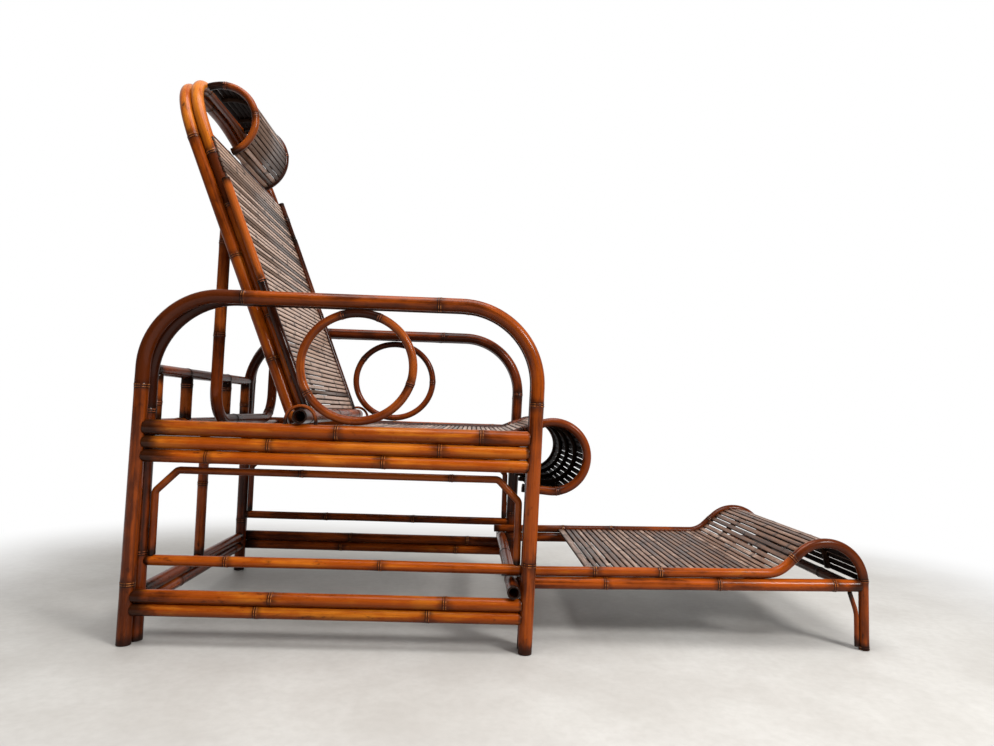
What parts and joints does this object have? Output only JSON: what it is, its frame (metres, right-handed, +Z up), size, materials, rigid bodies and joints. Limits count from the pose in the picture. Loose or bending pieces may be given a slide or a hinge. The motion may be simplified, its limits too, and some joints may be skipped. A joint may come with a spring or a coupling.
{
  "type": "folding recliner chair",
  "caption": "Bamboo recliner with looped side frames, a slatted back with roll headrest held by a folding prop, a rolled seat front and a pull-out footrest.",
  "frame": {"origin": "middle of the footprint, on the floor", "axes": "+X towards the footrest, +Y to the sitter's left, +Z up"},
  "size_m": [1.438, 0.65, 1.145],
  "materials": {
    "amber_bamboo": "varnished, glossy",
    "orange_bamboo": "varnished, glossy",
    "russet_bamboo": "varnished, glossy",
    "dark_bamboo": "varnished, glossy",
    "bamboo_slats": "varnished, satin"
  },
  "bodies": {
    "frame": {"right_outer_hoop": "amber_bamboo", "right_inner_hoop": "russet_bamboo", "right_arm_ring": "russet_bamboo", "right_seat_rail_top": "amber_bamboo", "right_seat_rail_middle": "orange_bamboo", "right_seat_rail_bottom": "orange_bamboo", "right_floor_rail_upper": "amber_bamboo", "right_floor_rail_lower": "amber_bamboo", "right_mid_rail": "orange_bamboo", "right_bracket": "russet_bamboo", "right_journal_staple": "russet_bamboo", "right_gallery_post_outer": "russet_bamboo", "right_gallery_post_inner": "russet_bamboo", "right_seat_edge_pole": "russet_bamboo", "left_outer_hoop": "amber_bamboo", "left_inner_hoop": "russet_bamboo", "left_arm_ring": "russet_bamboo", "left_seat_rail_top": "amber_bamboo", "left_seat_rail_middle": "orange_bamboo", "left_seat_rail_bottom": "orange_bamboo", "left_floor_rail_upper": "amber_bamboo", "left_floor_rail_lower": "amber_bamboo", "left_mid_rail": "orange_bamboo", "left_bracket": "russet_bamboo", "left_journal_staple": "russet_bamboo", "left_gallery_post_outer": "russet_bamboo", "left_gallery_post_inner": "russet_bamboo", "left_seat_edge_pole": "russet_bamboo", "rear_floor_rail_upper": "amber_bamboo", "rear_floor_rail_lower": "amber_bamboo", "rear_seat_rail": "russet_bamboo", "gallery_rail": "russet_bamboo", "rear_centre_post": "amber_bamboo", "seat_cross_rail_rear": "russet_bamboo", "seat_cross_rail_front": "russet_bamboo", "seat_slats": "bamboo_slats", "prop_rest_rail": "russet_bamboo"},
    "back": {"back_journal": "russet_bamboo", "rear_arch": "amber_bamboo", "front_arch": "orange_bamboo", "right_back_side_pole": "dark_bamboo", "left_back_side_pole": "dark_bamboo", "back_cross_rail_lower": "russet_bamboo", "back_cross_rail_upper": "russet_bamboo", "back_slats": "bamboo_slats", "right_headrest_ring": "russet_bamboo", "left_headrest_ring": "russet_bamboo", "headrest_slats": "bamboo_slats", "right_prop_pin": "dark_bamboo", "left_prop_pin": "dark_bamboo"},
    "prop": {"back_prop": "russet_bamboo"},
    "footrest": {"footrest_roller": "russet_bamboo", "footrest_cross_rail": "dark_bamboo", "footrest_slats": "bamboo_slats", "right_footrest_arch_rail": "amber_bamboo", "right_footrest_lower_rail": "orange_bamboo", "right_footrest_brace": "russet_bamboo", "left_footrest_arch_rail": "amber_bamboo", "left_footrest_lower_rail": "orange_bamboo", "left_footrest_brace": "russet_bamboo"}
  },
  "joints": [
    {"name": "footrest_slide", "type": "slide", "parent": "frame", "child": "footrest", "axis": [1, 0, 0], "range_m": [-0.6, 0]},
    {"name": "back_recline", "type": "hinge", "parent": "frame", "child": "back", "pos_m": [-0.38728, 0, 0.4198], "axis": [0, 1, 0], "range_deg": [-41.6, 100]},
    {"name": "prop_swing", "type": "hinge", "parent": "back", "child": "prop", "pos_m": [-0.58505, 0, 0.822], "axis": [0, 1, 0], "range_deg": [-22.4, 53.7]}
  ],
  "couplings": [
    {"joint": "prop_swing", "follows": "back_recline", "ratio": 0.536}
  ]
}
